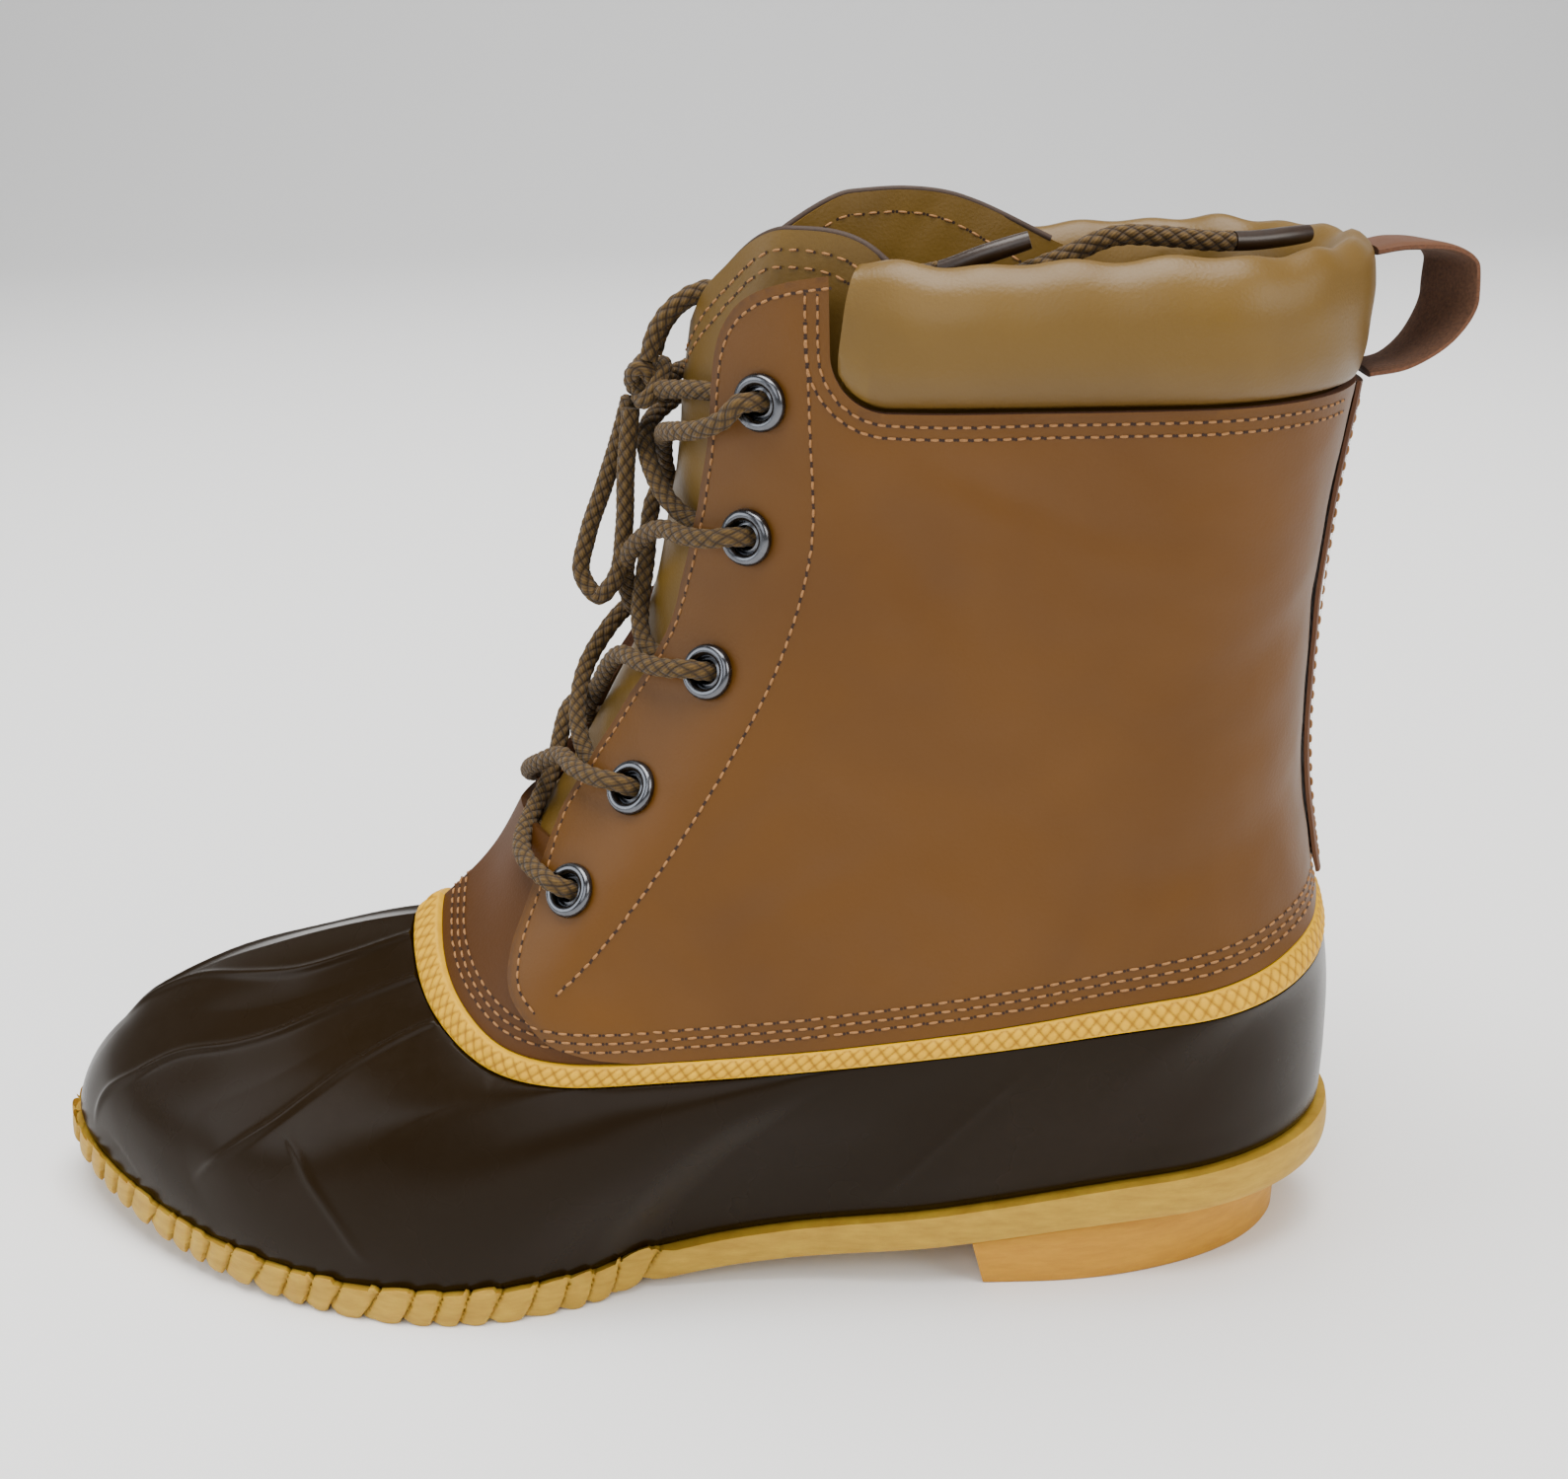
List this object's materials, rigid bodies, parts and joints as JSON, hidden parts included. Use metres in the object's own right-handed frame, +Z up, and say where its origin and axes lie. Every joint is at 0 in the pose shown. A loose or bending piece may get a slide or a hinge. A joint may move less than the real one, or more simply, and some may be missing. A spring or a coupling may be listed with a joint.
{
  "type": "duck boot",
  "caption": "Left ankle boot with a brown rubber lower on a crepe sole and heel, a yellow band, tan leather shaft, padded collar, tongue and laced eyelets.",
  "frame": {"origin": "middle of the heel's flat ground face, under the centre line of the foot", "axes": "+X from heel to toe, +Y to the outer side of the left foot, +Z up; the boot stands on z = 0"},
  "size_m": [0.3163, 0.1058, 0.2289],
  "materials": {
    "crepe": "pale yellow crepe rubber, matt, scalloped edge",
    "heel_crepe": "amber crepe rubber, smooth",
    "brown_rubber": "very dark brown moulded rubber, satin",
    "yellow_band": "yellow rubber tape with a raised braid",
    "tan_leather": "smooth tan brown leather, low sheen",
    "olive_leather": "soft olive tan leather over padding",
    "strap_leather": "brown leather strap with a raw flesh side",
    "dark_nickel": "dark nickel, polished",
    "lace_braid": "round olive brown braid",
    "insole_board": "tan felt"
  },
  "bodies": {
    "root": {"back_strap": "strap_leather", "band": "yellow_band", "collar": "olive_leather", "eyelet_inner_1": "dark_nickel", "eyelet_inner_2": "dark_nickel", "eyelet_inner_3": "dark_nickel", "eyelet_inner_4": "dark_nickel", "eyelet_inner_5": "dark_nickel", "eyelet_outer_1": "dark_nickel", "eyelet_outer_2": "dark_nickel", "eyelet_outer_3": "dark_nickel", "eyelet_outer_4": "dark_nickel", "eyelet_outer_5": "dark_nickel", "heel": "heel_crepe", "insole": "insole_board", "lace_bow": "lace_braid", "lace_cross_1": "lace_braid", "lace_cross_2": "lace_braid", "lace_cross_3": "lace_braid", "lace_cross_4": "lace_braid", "lace_end_long": "lace_braid", "lace_end_short": "lace_braid", "lace_knot": "lace_braid", "outsole": "crepe", "pull_loop": "strap_leather", "shell": "brown_rubber", "tongue": "olive_leather", "upper": "tan_leather", "vamp": "tan_leather"}
  },
  "joints": []
}
